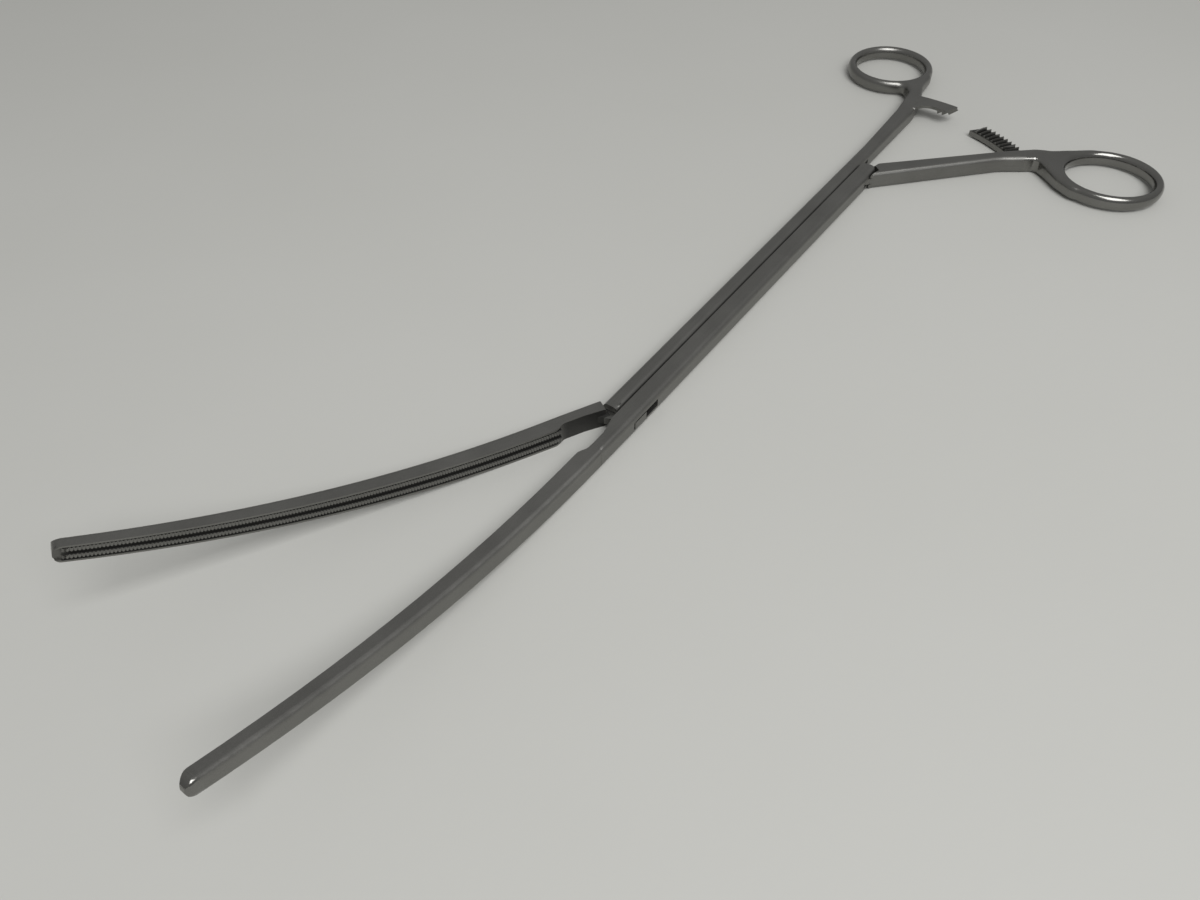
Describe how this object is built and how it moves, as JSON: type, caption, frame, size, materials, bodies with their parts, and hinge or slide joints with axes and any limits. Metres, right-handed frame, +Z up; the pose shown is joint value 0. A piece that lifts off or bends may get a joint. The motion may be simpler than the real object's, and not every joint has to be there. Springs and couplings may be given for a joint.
{
  "type": "vascular clamp",
  "caption": "Stainless slide-shaft vascular clamp with finger rings, a ratchet and long upward-curving jaws lined with fine rows of teeth.",
  "frame": {"origin": "on the seam between the two bars, at the ring bar's front end, on the floor the clamp lies on", "axes": "+X along the bars towards the jaws, +Y towards the moving handle's side, +Z up"},
  "size_m": [0.3241, 0.1299, 0.0217],
  "materials": {
    "satin_steel": "satin",
    "pin_steel": "satin"
  },
  "bodies": {
    "ring_bar_body": {"ring_bar": "satin_steel", "jaw_crank_pin": "pin_steel", "handle_crank_pin": "pin_steel"},
    "jaw_bar_body": {"jaw_bar": "satin_steel", "jaw_pin": "pin_steel", "handle_pin": "pin_steel"},
    "moving_jaw_body": {"moving_jaw": "satin_steel"},
    "moving_handle_body": {"moving_handle": "satin_steel"}
  },
  "joints": [
    {"name": "bar_slide", "type": "slide", "parent": "ring_bar_body", "child": "jaw_bar_body", "axis": [-1, 0, 0], "range_m": [0, 0.00148]},
    {"name": "handle_turn", "type": "hinge", "parent": "jaw_bar_body", "child": "moving_handle_body", "pos_m": [-0.1248, 0.0022, 0.00255], "axis": [0, 0, 1], "range_deg": [0, 18.5]},
    {"name": "jaw_turn", "type": "hinge", "parent": "jaw_bar_body", "child": "moving_jaw_body", "pos_m": [-0.0012, 0.0016, 0.00255], "axis": [0, 0, 1], "range_deg": [0, 26.8]}
  ],
  "couplings": [
    {"joint": "bar_slide", "follows": "handle_turn", "m_per_rad": 0.0045935},
    {"joint": "jaw_turn", "follows": "handle_turn", "ratio": 1.4486}
  ]
}
